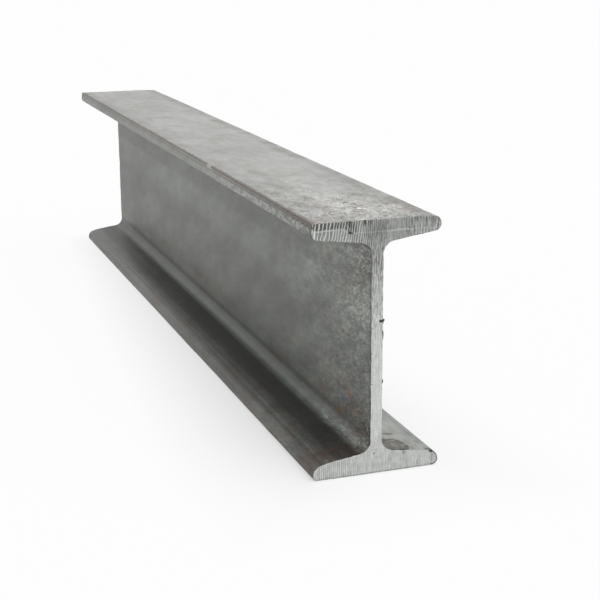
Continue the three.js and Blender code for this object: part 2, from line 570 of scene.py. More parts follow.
def saw_slab(tree, section, sizes, side):
    """The slab that cuts off one end. Its inner face carries the saw's marks, cut inwards."""
    cell_x, cell_z = 0.15, 0.4
    width = WIDTH + 2 * SLAB_MARGIN
    height = DEPTH + 2 * SLAB_MARGIN
    block = add(
        tree, "GeometryNodeMeshCube",
        {
            "Size": (width * MM, SLAB * MM, height * MM),
            "Vertices X": round(width / cell_x),
            "Vertices Y": 2,
            "Vertices Z": round(height / cell_z),
        })
    middle = add(
        tree, MATH, (sizes["Length"], side / 2, side * SLAB * MM / 2), operation="MULTIPLY_ADD")
    centre = add(tree, "ShaderNodeCombineXYZ", {"Y": middle, "Z": DEPTH * MM / 2})
    placed = add(tree, "GeometryNodeTransform", {"Geometry": block, "Translation": centre})
    rim = rim_distance(tree, section, sizes, side)
    measured = add(
        tree, "GeometryNodeStoreNamedAttribute", {"Geometry": placed, "Name": "rim", "Value": rim},
        data_type="FLOAT", domain="POINT")
    depth = crumbled_rim(tree, saw_furrows(tree, millimetre_place(tree)[0], sizes), sizes)
    inwards = add(tree, MATH, (depth, -side), operation="MULTIPLY")
    move = add(tree, "ShaderNodeCombineXYZ", {"Y": inwards})
    here = add(tree, "GeometryNodeInputPosition")
    station = add(tree, "ShaderNodeSeparateXYZ", (here,), "Y")
    beyond = add(tree, MATH, (station, middle), operation="SUBTRACT")
    outward = add(tree, MATH, (beyond, side), operation="MULTIPLY")
    inner = add(tree, MATH, (outward, 0.0), operation="LESS_THAN")
    cut = add(
        tree, "GeometryNodeSetPosition",
        {"Geometry": measured, "Selection": inner, "Offset": move})
    return add(
        tree, "GeometryNodeStoreNamedAttribute", {"Geometry": cut, "Name": "sawn", "Value": 1.0},
        domain="FACE", data_type="FLOAT")


def sawn_off(tree, bar, section, sizes):
    """The bar with both of its ends sawn off square."""
    cut = add(
        tree, "GeometryNodeMeshBoolean", {"Mesh 1": bar}, operation="DIFFERENCE",
        solver="MANIFOLD")
    for side in (-1, 1):
        tree.links.new(saw_slab(tree, section, sizes, side), cut.node.inputs["Mesh 2"])
    return cut


# ---- Pits and nicks ----------------------------------------------

# Knocks at the near end: where each is, from the near end, and its reach, in millimetres.
NICKS = [
    ((-2.1, 0.0, 63.6), (0.30, 0.6, 0.50)),
    ((-2.1, 0.0, 56.0), (0.25, 0.6, 0.35)),
    ((-2.1, 0.0, 46.6), (0.30, 0.6, 0.25)),
    ((-2.1, 0.0, 38.7), (0.25, 0.6, 0.25)),
    ((-2.1, 0.0, 28.9), (0.35, 0.6, 0.25)),
    ((18.6, 0.0, 4.9), (0.60, 0.7, 0.50)),
    ((-8.9, 0.0, 80.1), (0.35, 0.8, 1.00)),
    ((-4.2, 0.0, 80.1), (0.40, 0.8, 1.00)),
    ((-8.9, 0.0, 76.5), (0.45, 0.3, 0.28)),
    ((-0.7, 0.0, 6.5), (0.22, 0.25, 0.20)),
]
# Burrs that the saw pushed over the right-hand edge of the web, in the same way.
BURRS = [
    ((1.85, 0.6, 48.8), (0.75, 0.50, 0.50)),
    ((1.90, 0.5, 48.3), (0.30, 0.40, 0.80)),
    ((1.95, 0.5, 44.2), (0.24, 0.40, 1.60)),
    ((1.95, 0.5, 29.5), (0.22, 0.40, 0.80)),
]


def roughened(tree, ball, grain, depth):
    """Balls with a broken surface instead of a smooth one, marked so that they render dark."""
    here = add(tree, "GeometryNodeInputPosition")
    grains = add(tree, VECTOR_MATH, {0: here, "Scale": PER_MM / grain}, operation="SCALE")
    rough = add(tree, "ShaderNodeTexNoise", {"Vector": grains, "Scale": 1, "Detail": 1}, "Color")
    centred = add(tree, VECTOR_MATH, (rough, (0.5, 0.5, 0.5)), operation="SUBTRACT")
    push = add(tree, VECTOR_MATH, {0: centred, "Scale": depth * MM}, operation="SCALE")
    broken = add(tree, "GeometryNodeSetPosition", {"Geometry": ball, "Offset": push})
    return add(
        tree, "GeometryNodeStoreNamedAttribute",
        {"Geometry": broken, "Name": "pit", "Value": 1.0}, domain="FACE", data_type="FLOAT")


def scattered_pits(tree, bar, sizes):
    """Shallow pits over the rolled skin, where scale was rolled in and has dropped out."""
    per_square_metre = 500.0
    apart = 3.0
    smallest, largest = 0.45, 1.0
    flatness = 0.4
    points = add(
        tree, "GeometryNodeDistributePointsOnFaces",
        {"Mesh": bar, "Distance Min": apart * MM, "Density Max": per_square_metre, "Seed": 3},
        distribute_method="POISSON")
    turn = points.node.outputs["Rotation"]
    ball = add(tree, "GeometryNodeMeshIcoSphere", {"Radius": sizes["Pit"], "Subdivisions": 2})
    size = add(
        tree, "FunctionNodeRandomValue", {2: smallest, 3: largest, "Seed": 5}, 1,
        data_type="FLOAT")
    flat = add(tree, MATH, (size, flatness), operation="MULTIPLY")
    scale = add(tree, "ShaderNodeCombineXYZ", {"X": size, "Y": size, "Z": flat})
    pits = add(
        tree, "GeometryNodeInstanceOnPoints",
        {"Points": points, "Instance": ball, "Rotation": turn, "Scale": scale})
    real = add(tree, "GeometryNodeRealizeInstances", {"Geometry": pits})
    return roughened(tree, real, grain=0.5, depth=0.35)


def rough_balls(tree, marks):
    """A ball with a broken surface at each of these places at the near end."""
    balls = []
    for place, reach in marks:
        ball = add(tree, "GeometryNodeMeshIcoSphere", {"Radius": MM, "Subdivisions": 3})
        centre = Vector(place) * MM + Vector((0, BEAM_LOW.y, 0))
        moved = add(
            tree, "GeometryNodeTransform",
            {"Geometry": ball, "Translation": centre, "Scale": reach})
        balls.append(roughened(tree, moved, grain=0.4, depth=0.3))
    return balls


def knocked(tree, bar, skin, sizes):
    """The sawn bar with the saw's burrs, its scattered pits and the nicks of handling."""
    burred = add(tree, "GeometryNodeMeshBoolean", operation="UNION", solver="MANIFOLD")
    for burr in (bar, *rough_balls(tree, BURRS)):
        tree.links.new(burr, burred.node.inputs["Mesh 2"])
    knocks = add(
        tree, "GeometryNodeMeshBoolean", {"Mesh 1": burred}, operation="DIFFERENCE",
        solver="MANIFOLD")
    for knock in (scattered_pits(tree, skin, sizes), *rough_balls(tree, NICKS)):
        tree.links.new(knock, knocks.node.inputs["Mesh 2"])
    return knocks


def without_slivers(tree, shape):
    """The shape without the loose slivers that are left where two cuts only just meet."""
    fewest_points = 100
    island = add(tree, "GeometryNodeInputMeshIsland")
    points = add(
        tree, "GeometryNodeAccumulateField", {"Value": 1, "Group ID": island}, "Total",
        data_type="INT", domain="POINT")
    sliver = add(tree, MATH, (points, fewest_points), operation="LESS_THAN")
    return add(
        tree, "GeometryNodeDeleteGeometry", {"Geometry": shape, "Selection": sliver},
        domain="POINT")


def finished(tree, shape, rolled, sawn):
    """Smooth faces with crisp sawn edges, made real and given their two finishes."""
    crisp_angle = math.radians(40)
    smooth = add(
        tree, "GeometryNodeSetShadeSmooth", {"Geometry": shape, "Shade Smooth": True},
        domain="FACE")
    bend = add(tree, "GeometryNodeInputMeshEdgeAngle")
    crisp = add(tree, MATH, (bend, crisp_angle), operation="GREATER_THAN")
    edged = add(
        tree, "GeometryNodeSetShadeSmooth",
        {"Geometry": smooth, "Selection": crisp, "Shade Smooth": False}, domain="EDGE")
    real = add(tree, "GeometryNodeRealizeInstances", {"Geometry": edged})
    scaled = add(tree, "GeometryNodeSetMaterial", {"Geometry": real, "Material": rolled})
    cut = add(tree, "GeometryNodeInputNamedAttribute", {"Name": "sawn"}, data_type="FLOAT")
    return add(
        tree, "GeometryNodeSetMaterial",
        {"Geometry": scaled, "Selection": cut, "Material": sawn})


def beam_sizes(section, skin, saw):
    """The named inputs of the beam's tree and the values they get."""
    return {
        "Length": LENGTH * MM,
        "Facet": section.facet,
        "Arc Steps": section.arc_steps,
        "Rings": section.rings,
        "Wave": skin.wave_depth,
        "Streaks": skin.streak_depth,
        "Flakes": skin.flake_depth,
        "Chips": skin.chip_depth,
        "Crust": skin.crust_depth,
        "Pit": skin.pit_radius,
        "Ridge Pitch": saw.ridge_pitch,
        "Ridge Depth": saw.ridge_depth,
        "Scratch Depth": saw.scratch_depth,
        "Rim Wear": saw.rim_wear,
    }


def beam_tree(values, rolled, sawn):
    """The whole making of the beam, from its section's corners to its two finishes."""
    tree = bpy.data.node_groups.new("rolled_beam", "GeometryNodeTree")
    for in_out in ("INPUT", "OUTPUT"):
        tree.interface.new_socket("Geometry", in_out=in_out, socket_type="NodeSocketGeometry")
    for name, value in values.items():
        kind = "NodeSocketInt" if isinstance(value, int) else "NodeSocketFloat"
        tree.interface.new_socket(name, in_out="INPUT", socket_type=kind)
    given = add(tree, "NodeGroupInput").node.outputs
    section = section_curve(tree, given["Geometry"], given)
    skin = rolled_skin(tree, rolled_bar(tree, section, given), given)
    cut = knocked(tree, sawn_off(tree, skin, section, given), skin, given)
    whole = without_slivers(tree, cut)
    add(tree, "NodeGroupOutput", (finished(tree, whole, rolled, sawn),))
    return tree


def without_spare_points(mesh):
    """Takes out the points that only bend an edge between two faces.

    The cuts leave them, and both faces would be cut into triangles right across them, which
    leaves a sliver with two sides and no thickness.
    """
    shape = bmesh.new()
    shape.from_mesh(mesh)
    spare = [point for point in shape.verts if len(point.link_edges) == 2]
    bmesh.ops.dissolve_verts(shape, verts=spare)
    shape.to_mesh(mesh)
    shape.free()


def run_tree(start_mesh, tree, values, name):
    """A plain mesh object of what a Geometry Nodes tree makes of a mesh."""
    source = new_object(name + "_source", start_mesh)
    modifier = source.modifiers.new("making", "NODES")
    modifier.node_group = tree
    for socket in tree.interface.items_tree:
        if socket.name in values:
            modifier[socket.identifier] = values[socket.name]
    evaluated = source.evaluated_get(bpy.context.evaluated_depsgraph_get())
    mesh = bpy.data.meshes.new_from_object(evaluated)
    mesh.name = name
    without_spare_points(mesh)
    for slot in reversed(range(len(mesh.materials))):
        if mesh.materials[slot] is None:
            mesh.materials.pop(index=slot)
    source.modifiers.remove(modifier)
    bpy.data.objects.remove(source)
    return new_object(name, mesh)


# ---- Finishes ----------------------------------------------------

# Spots of fresh rust on the web near the sawn end: where each is, its reach and its strength.
RUST_SPOTS = [
    ((-1.95, 17.9, 20.3), (1.0, 1.9, 1.7), 0.6),
    ((-1.95, 28.5, 11.3), (1.0, 1.7, 1.3), 0.6),
    ((-1.95, 10.5, 16.4), (1.0, 1.4, 0.8), 0.6),
    ((-1.95, 23.0, 13.4), (1.0, 1.3, 0.8), 0.6),
]
# Dark marks on the top face and the foot, in the same way.
SMUDGES = [
    ((-15.2, 27.0, 80.0), (0.7, 2.6, 1.0), 0.5),
    ((-10.4, 12.9, 80.0), (0.5, 1.6, 1.0), 0.5),
    ((10.2, 15.0, 6.2), (2.2, 1.3, 1.5), 0.6),
    ((17.5, 15.5, 5.2), (1.0, 2.6, 1.0), 0.25),
    ((16.6, 7.5, 5.4), (0.9, 1.5, 1.0), 0.25),
    ((9.4, 0.6, 6.3), (1.6, 1.3, 1.0), 0.8),
    ((12.3, 2.4, 5.9), (1.6, 1.8, 1.2), 0.3),
    ((18.2, 1.0, 4.9), (1.6, 1.6, 1.0), 0.7),
]
# Bare flecks on the top face, rubbed bright.
FLECKS = [
    ((0.9, 17.5, 80.0), (0.7, 1.1, 1.0), 0.9),
    ((2.3, 17.0, 80.0), (0.5, 0.9, 1.0), 0.9),
]
# Where the lap on the top left toe is closed for a little way.
LAP_BREAK = [((-20.6, 110.8, 79.0), (1.8, 4.0, 2.4), 1.0)]
# The oval smear on the foot.
SMEAR_PLACE = (8.0, 4.7, 6.5)
SMEAR_REACH = (3.9, 4.9, 2.5)

OFF_GROUND = ("z", 0.8, None, 0.5)
ON_WEB = ("across", None, 3, 2)

# Where the parts of the skin are: each row gives a coordinate, the two limits that it lies
# between and the width of the soft edge outside them.
SKIN_ZONES = {
    "near": [("from_end", None, 12, 45)],
    "near_half": [("from_end", None, 20, 90)],
    "at_cut": [("from_end", None, 0.9, 0.9), ("z", 9, DEPTH - 1, 0.5)],
    "by_cut": [("from_end", None, 2, 4)],
    "behind_cut": [("from_end", None, 3, 8)],
    "end_band": [("from_end", None, 4, 28)],
    "far_end": [("y", 110, None, 60)],
    # The top face.
    "top": [("z", DEPTH - 0.75, None, 0.5)],
    "top_middle": [("x", -5, 5, 5), ("z", DEPTH - 0.5, None, 0.5), ("from_end", None, 80, 60)],
    "top_right": [("x", 16, None, 3), ("z", DEPTH - 0.6, None, 0.5)],
    "top_left": [("x", None, -17, 3), ("z", DEPTH - 0.3, None, 0.3)],
    "top_near": [
        ("z", DEPTH - 0.75, None, 0.5), ("from_end", 7, None, 4), ("from_end", None, 45, 45)],
    "right_of_middle": [("x", 6, 14, 3), ("from_end", None, 2, 5)],
    "worn_left": [("x", None, -6, 12), ("z", DEPTH - 0.5, None, 0.5)],
    "right_side": [("x", 15, None, 5), ("z", DEPTH - 4, None, 2)],
    "dashed": [("from_end", None, 20, 35)],
    "dusty": [("from_end", None, 3, 12), ("z", DEPTH - 1, None, 0.5)],
    # The lapped toe.
    "toe_side": [("x", None, 0.6 - TOE, 0.4), ("z", DEPTH - 3.8, DEPTH - 1.9, 0.4)],
    "lap_side": [("x", None, 0.5 - TOE, 0.15), ("jagged_z", DEPTH - 1.2, None, 0.3)],
    "lap_margin": [
        ("jagged_x", None, 1.4 - TOE, 0.25), ("z", DEPTH - 0.35, None, 0.25),
        ("from_end", 2.5, None, 2)],
    "toe_mouth": [
        ("x", None, 0.7 - TOE, 0.4), ("z", DEPTH - 5, DEPTH - 2.9, 0.5),
        ("from_end", None, 3, 3)],
    "crusted": [("from_end", 3.5, None, 2), ("from_end", None, 60, 80)],
    # The web and the undersides.
    "inner": [("z", 14, DEPTH - 4, 1)],
    "underside": [("z", 57, DEPTH - 4, 2), ("x", 0.9 - TOE, TOE - 0.9, 0.4)],
    "web": [("z", 16, 64, 1), ("across", None, 3, 1)],
    "low_web": [("z", 13, 20, 7), ON_WEB],
    "lower_web": [("z", 12, 40, 8), ON_WEB],
    "dim_web": [("z", 34, 39, 4), ON_WEB],
    "bright_web": [("z", 47, 54, 5), ON_WEB],
    "upper_web": [("z", 42, 66, 5), ("across", None, 6, 2)],
    "stroked": [("z", 25, 62, 8), ("across", None, 3, 1), ("from_end", None, 4, 9)],
    "scorched_top": [("z", 63, 75, 8), ("from_end", None, 5, 14), ("across", None, 9, 4)],
    "scorched_foot": [("z", 9, 16, 8), ("from_end", None, 3, 9), ("across", None, 8, 4)],
    # The root of the web and the foot.
    "root": [("z", 6.9, 8.0, 1.1), ("across", 2.4, 5.9, 1.0)],
    "root_low": [
        ("z", 6.2, 7.2, 0.5), ("across", 3.2, 6.5, 1.0), ("x", None, 0, 1),
        ("from_end", 35, 110, 30)],
    "root_top": [("z", 9.0, 11.5, 1.2), ("across", None, 4, 1)],
    "root_bend": [("z", 7.4, 8.8, 0.6), ("across", None, 5, 1)],
    # Painted shade in the hollow beside the root and across the inner face of the foot.
    "hollow": [OFF_GROUND, ("z", None, 11, 1.3), ("across", 6.2, 9, 1.3)],
    "hollow_side": [
        OFF_GROUND, ("z", None, 11, 1.5), ("across", 6.4, None, 1.4), ("across", None, 11, 5.5)],
    "foot": [OFF_GROUND, ("z", None, 7.5, 1.5), ("across", 5, None, 1.5)],
    # The right foot near the end, which the lamp lights; it is paled and brightened there by
    # painted light.
    "lit_foot": [
        OFF_GROUND, ("z", None, 9, 1.5), ("x", 5, None, 3), ("from_end", None, 25, 25)],
    "smooth_foot": [("x", 9, None, 4)],
    "foot_rim": [("x", 18, None, 1.5)],
    "foot_edge": [
        OFF_GROUND, ("z", None, 7, 1), ("x", None, 3.2 - TOE, 1.2), ("from_end", None, 80, 90)],
    # A painted highlight where the foot meets the cut.
    "foot_cut_highlight": [
        OFF_GROUND, ("z", None, 8, 1), ("x", -16, -9, 2), ("from_end", None, 1, 5)],
    "low_near": [
        OFF_GROUND, ("z", None, 15, 8), ("from_end", None, 12, 8), ("x", None, -2, 1)],
    # The oval smear and the two darker lines in it, by how far out they are in its reach, and
    # the veins in the scale, by the height of a crease pattern.
    "smear": [("out", None, 0.85, 0.25)],
    "outer_line": [("out", 0.84, 1.06, 0.2)],
    "inner_line": [("out", 0.39, 0.61, 0.2)],
    "veins": [("crease", 0.46, 0.5, 0.06)],
}

# Patterns of the skin that come and go, and those that swing its brightness both ways, with
# their size in millimetres, the values that they rise between, their seed and their detail.
# Some lie straight along the beam and some lean across it. Grit, specks and dust are finer on
# the real scale, and are drawn as coarse as they need to be to show.
STRAIGHT_PATCHES = {
    "brown": ((8, 14, 7), 0.46, 0.66, 3, 5),
    "strokes": ((1, 0.8, 6), 0.5, 0.62, 18, 2),
    "ragged": ((1.2, 1.2, 1.2), 0.3, 0.6, 9, 2),
    "crust": ((1.5, 3.4, 1.4), 0.42, 0.56, 6, 2),
    "clots": ((0.7, 1.6, 0.6), 0.53, 0.6, 17, 2),
    "bloom": ((1.3, 2.4, 1.3), 0.52, 0.62, 7, 3),
    "line_breaks": ((2, 2, 2), 0.25, 0.5, 14, 2),
    "dashes": ((2.2, 1.5, 2.2), 0.56, 0.64, 25, 4),
    "dust": ((0.7, 0.8, 0.7), 0.56, 0.66, 13, 2),
    "scuffs": ((5, 14, 5), 0.5, 0.66, 15, 5),
    "scratches": ((1.2, 2.4, 1.2), 0.57, 0.66, 16, 4),
    "creased": ((9, 12, 9), 0.42, 0.54, 22, 2),
}
LEANING_PATCHES = {
    "grit": ((0.8, 2.0, 0.7), 0.44, 0.58, 12, 3),
    "specks": ((0.8, 2.0, 0.7), 0.58, 0.68, 10, 2),
}
STRAIGHT_SWINGS = {
    "blots": ((2.0, 4.6, 2.0), 0.36, 0.64, 31, 3),
    "drawn": ((1.1, 15, 1.0), 0.36, 0.64, 30, 2),
    "streak": ((0.9, 150, 0.9), 0.3, 0.7, 8, 3),
}
LEANING_SWINGS = {
    "clouds": ((13, 30, 11), 0.32, 0.68, 1, 3),
    "cloudlets": ((4.2, 10, 3.4), 0.32, 0.68, 2, 4),
    "grain": ((1.0, 2.7, 0.9), 0.32, 0.68, 4, 3),
    "mottle": ((1.6, 4.4, 1.5), 0.3, 0.7, 5, 4),
    "banks": ((18, 30, 12), 0.36, 0.64, 32, 4),
    "sand": ((0.5, 1.4, 0.45), 0.35, 0.65, 19, 2),
}

# The skin's colour, in this order: where it turns, how far and to which colour. It is paler on
# the top face, partly worn and partly painted light from above, and on the lit part of the foot,
# where the paling is painted light; and it is browner in patches, low on the web, along the lap
# and to the right.
# Patterns named together have to meet, and one with a minus sign before it is taken out.
SCALE_TINTS = [
    ("top", 1.0, "outside"),
    ("lit_foot", 0.5, "outside"),
    ("brown -lit_foot", 0.17, "brown"),
    ("brown low_web", 0.55, "brown"),
    ("brown left_foot", 0.6, "brown"),
    ("brown right_side", 0.4, "brown"),
    ("lap", 0.5, "brown"),
    ("lap near_half", 0.4, "brown"),
    ("lap_margin -closed", 0.7, "brown"),
    ("lap near", 0.12, "rust"),
    ("root", 0.5, "root"),
]
# Clouds, a finer mottle and a grain, which are strongest towards the near end: how strong each
# is far away, how strong it is near, and where that is.
SCALE_CLOUDS = [
    ("clouds", 0.08, 0.16, "near_half -lit_foot"),
    ("cloudlets", 0.06, 0.17, "near_half -lit_foot"),
    ("grain", 0.05, 0.22, "near -lit_foot"),
]
# Where else the skin is brighter or darker, and by how much.
SCALE_SHADES = [
    ("mottle inner near", 0.12),
    ("banks web", 0.1),
    ("blots inner near_half", 0.16),
    ("blots root near_half", 0.16),
    ("blots lit_foot", 0.1),
    ("drawn root near_half", 0.16),
    ("sand inner end_band -lit_foot", 0.2),
    ("upper_web near_half", 0.13),
    ("strokes stroked", 0.2),
    ("grit scorched", -0.5),
    ("streak left_foot", 0.22),
    ("bright_web", 0.09),
    ("bright_web near", 0.12),
    ("dim_web", -0.05),
    ("lower_web", -0.12),
    ("low_web near", 0.34),
    ("web -near", -0.13),
    ("underside -near", -0.13),
    ("foot_edge", -0.22),
    # A painted highlight where the foot meets the cut.
    ("foot_cut_highlight", 0.3),
    # Painted shade: the foot is darker away from its lit part, and more so near the end.
    ("left_foot", -0.3),
    ("left_foot near", -0.14),
    # Painted shade in the hollow beside the root and across the foot's inner face.
    ("hollow -lit_foot", -0.2),
    ("hollow_side -lit_foot", -0.66),
    # Painted light on the lit part of the foot.
    ("lit_foot", 0.04),
    ("lit_foot smooth_foot", 0.04),
    ("lit_foot foot_rim", -0.15),
    ("root_low", 0.3),
    ("root_bend -near", -0.2),
    ("root_bend behind_cut", -0.28),
    ("root by_cut", -0.15),
    ("root -near", -0.22),
    ("root_top", -0.12),
    ("root_top -near", -0.26),
    ("lap near_half", -0.24),
    ("lap -near", 0.13),
    ("lap_margin -closed", -0.44),
    ("closed lap_side", 0.3),
    ("toe_side -near", 0.24),
    ("toe_mouth", -0.12),
    ("top_middle", 0.09),
    ("top_right", -0.1),
    ("top right_of_middle", -0.07),
    ("top_near", 0.08),
    ("worn_left near", 0.04),
    ("top_left -near", -0.13),
    ("top_right -near", -0.06),
    ("top -near", -0.08),
    ("far_end", -0.07),
    ("at_cut ragged", -0.6),
]
# What lies on the skin, in the same way as its own colour.
WEAR_TINTS = [
    # Pale flakes of crust on the lapped toe, and flecks on the top face.
    ("crust toe_side crusted", 0.72, "crust"),
    ("clots toe_side crusted near", 0.5, "soot"),
    ("flecks", 1.0, "fleck"),
    # Rust as a reddish bloom low down near the cut, scorched purple where the web meets the
    # flanges at the cut, and in fresh spots.
    ("bloom low_near", 0.6, "bloom"),
    ("grit scorched", 0.22, "bloom"),
    ("rust_spots", 1.0, "rust"),
    # The oval smear with its two lines, smudges, dirt, scratches, veins and pits.
    ("smear", 0.2, "grease"),
    ("outer_line line_breaks", 1.0, "grease"),
    ("inner_line line_breaks", 0.75, "grease"),
    ("smudges", 1.0, "soot"),
    ("specks near -lit_foot", 0.4, "soot"),
    ("dashes top dashed", 0.32, "bloom"),
    ("dashes top dashed", 0.1, "soot"),
    ("dust dusty", 0.55, "soot"),
    ("scuffs worn_left", 0.35, "brown"),
    ("scratches worn_left near_half", 0.4, "soot"),
    ("veins creased top near_half", 0.9, "brown"),
    ("veins creased top near_half", 0.3, "soot"),
    ("pit", 0.8, "soot"),
]


def new_finish(name, metallic, roughness):
    """An empty material with its shader, and each point's place on the piece in millimetres."""
    finish = bpy.data.materials.new(name)
    tree = empty_tree(finish)
    here = add(tree, "ShaderNodeTexCoord", out="Object")
    place = add(tree, VECTOR_MATH, {0: here, "Scale": PER_MM}, operation="SCALE")
    surface = add(
        tree, "ShaderNodeBsdfPrincipled", {"Metallic": metallic, "Roughness": roughness})
    add(tree, "ShaderNodeOutputMaterial", {"Surface": surface})
    return finish, tree, place, surface.node.inputs


def skin_parts(tree, place):
    """The zones, patches and marks of the skin, by name."""
    lean = 0.27  # how far the rolls' patterns climb the web for each unit of the length
    where = coordinates(tree, place)
    leaning_z = add(tree, MATH, (where["y"], lean, where["z"]), operation="MULTIPLY_ADD")
    leaning = add(tree, "ShaderNodeCombineXYZ", (where["x"], where["y"], leaning_z))
    jag = patches(tree, place, (1.2, 2.6, 1.2), 0.3, 0.7, to=(-0.3, 0.3), seed=27)
    for axis in ("x", "z"):
        where["jagged_" + axis] = add(tree, MATH, (where[axis], jag), operation="ADD")
    centre = (SMEAR_PLACE[0], NEAR_END + SMEAR_PLACE[1], SMEAR_PLACE[2])
    where["out"] = ragged_distance(tree, place, centre, SMEAR_REACH, ragged=0.25)
    where["crease"] = patches(tree, place, (5, 6, 5), 0.3, 0.7, seed=21, detail=5)
    parts = {
        "closed": marked(tree, place, LAP_BREAK),
        "flecks": marked(tree, place, FLECKS),
        "rust_spots": marked(tree, place, RUST_SPOTS),
        "smudges": marked(tree, place, SMUDGES),
        "pit": add(tree, "ShaderNodeAttribute", {}, "Fac", attribute_name="pit"),
        **patch_set(tree, place, STRAIGHT_PATCHES),
        **patch_set(tree, leaning, LEANING_PATCHES),
        **patch_set(tree, place, STRAIGHT_SWINGS, BOTH_WAYS),
        **patch_set(tree, leaning, LEANING_SWINGS, BOTH_WAYS),
        **zone_set(tree, where, SKIN_ZONES),
    }
    parts["lap"] = meeting_of(tree, parts, "lap_side -closed")
    # The foot away from its lit part, which is browned and darkened by painted shade.
    parts["left_foot"] = meeting_of(tree, parts, "foot -lit_foot")
    parts["scorched"] = add(
        tree, MATH, (parts["scorched_top"], parts["scorched_foot"]), operation="MAXIMUM")
    return parts


def rolled_scale_finish(skin):
    """Hot-rolled mill scale: grey iron oxide, half dull, cloudy, and browner in patches."""
    finish, tree, place, shader = new_finish(
        "hot_rolled_mill_scale", metallic=0.45, roughness=0.45)
    parts = skin_parts(tree, place)
    colour = tinted(tree, skin.inside, parts, skin, SCALE_TINTS)
    level = 1.0
    for cloud, most_far, most_near, names in SCALE_CLOUDS:
        most = add(
            tree, MATH, (meeting_of(tree, parts, names), most_near - most_far, most_far),
            operation="MULTIPLY_ADD")
        level = shaded(tree, level, parts, [(cloud, most)])
    level = shaded(tree, level, parts, SCALE_SHADES)
    colour = add(tree, VECTOR_MATH, {0: colour, "Scale": level}, operation="SCALE")
    colour = tinted(tree, colour, parts, skin, WEAR_TINTS)
    tree.links.new(colour, shader["Base Color"])

    # A fine grain that is felt more than seen, and fades with distance.
    bump_depth = 0.04
    far_strength, near_strength = 0.4, 1.0
    grain = patches(tree, place, (0.5, 0.8, 0.5), 0.2, 0.8)
    strength = add(
        tree, MATH, (parts["near_half"], near_strength - far_strength, far_strength),
        operation="MULTIPLY_ADD")
    bump = add(
        tree, "ShaderNodeBump",
        {"Height": grain, "Distance": bump_depth * MM, "Strength": strength})
    tree.links.new(bump, shader["Normal"])
    return finish


# Dark specks in the saw cut: rolled-in scale that the saw laid bare.
CUT_SPECKS = [
    ((-9.1, 0.0, 78.9), (0.5, 1.0, 1.2), 0.75),
    ((-4.2, 0.0, 79.3), (0.5, 1.0, 1.0), 0.75),
    ((-0.7, 0.0, 6.5), (0.3, 1.0, 0.26), 0.5),
    ((-12.4, 0.0, 2.7), (0.26, 1.0, 0.24), 0.45),
    ((1.3, 0.0, 48.7), (0.9, 1.0, 0.55), 1.0),
    ((2.0, 0.0, 44.9), (0.45, 1.0, 1.4), 0.85),
    ((2.0, 0.0, 29.5), (0.4, 1.0, 0.9), 0.75),
    ((-1.9, 0.0, 46.6), (0.6, 1.0, 0.25), 0.5),
    ((-1.8, 0.0, 38.7), (0.7, 1.0, 0.2), 0.5),
    ((-1.8, 0.0, 28.9), (0.7, 1.0, 0.2), 0.5),
    ((18.4, 0.0, 4.8), (0.8, 1.0, 0.6), 0.75),
    ((18.9, 0.0, 3.0), (0.14, 1.0, 2.2), 0.5),
    ((9.3, 0.0, 5.6), (0.7, 1.0, 1.0), 0.45),
    ((5.3, 0.0, 6.2), (0.25, 1.0, 0.9), 0.35),
]
# Touches of rust in the saw cut.
CUT_STAINS = [
    ((-8.9, 0.0, 76.5), (0.75, 1.0, 0.45), 0.85),
    ((-8.3, 0.0, 76.3), (0.5, 1.0, 0.35), 0.85),
]

# Where the cut is brighter or darker, and where its rim is dark: a painted shadow along the
# foot and round its right toe, where the bottom edge meets the floor. "rim" is the distance from
# the section's outline.
CUT_ZONES = {
    "dull": [("z", 73, None, 38)],
    "ridged": [("x", None, -5, 4), ("z", 71, None, 5)],
    "foot": [("z", None, 5, 13)],
    "beside_web": [("x", 5.5, 9, 2), ("z", 72, None, 3)],
    "right_toe": [("x", 13, None, 4), ("z", 73, DEPTH - 2.4, 1)],
    "throat": [("x", None, 3, 3), ("z", 64, 72, 5)],
    "scored": [("z", 50, 71, 6), ("x", -3, 3, 1)],
    "tip": [("x", None, 1.1 - TOE, 0.6), ("z", DEPTH - 4.6, DEPTH - 2.5, 0.4)],
    "lip": [("rim", None, 0.8, 0.5), ("x", 9, None, 2), ("z", 72, DEPTH - 2.5, 1)],
    "left_foot": [("x", None, -9, 4), ("z", None, 5, 4)],
    "beside_stain": [("x", -8.6, -6, 1), ("z", 70, 76, 1)],
    "set_back": [("above", -0.12, 0.12, 0.25)],
    "line_left": [("x", None, -15, 5)],
    "line_right": [("x", 4.5, 9, 3)],
    "foot_rim": [("rim", None, 0.2, 0.5), ("z", None, 0.7, 0.3)],
    "toe_rim": [("rim", None, 0.4, 0.5), ("z", None, 4.5, 0.5), ("x", 18.6, None, 0.8)],
}
# Patterns of the cut, given as those of the skin are.
CUT_PATCHES = {
    "bristle": ((0.55, ALONG, 6), 0.5, 0.62, 23, 1),
    "dark_dash": ((0.4, ALONG, 2.2), 0.53, 0.59, 28, 2),
    "light_dash": ((0.4, ALONG, 2.2), 0.5, 0.58, 29, 2),
}
CUT_SWINGS = {
    "blotch": ((2.6, ALONG, 1.8), 0.3, 0.7, 20, 2),
    "stroke": ((0.5, ALONG, 5), 0.3, 0.7, 6, 2),
    "speckle": ((0.45, ALONG, 0.45), 0.25, 0.75, 7, 2),
}
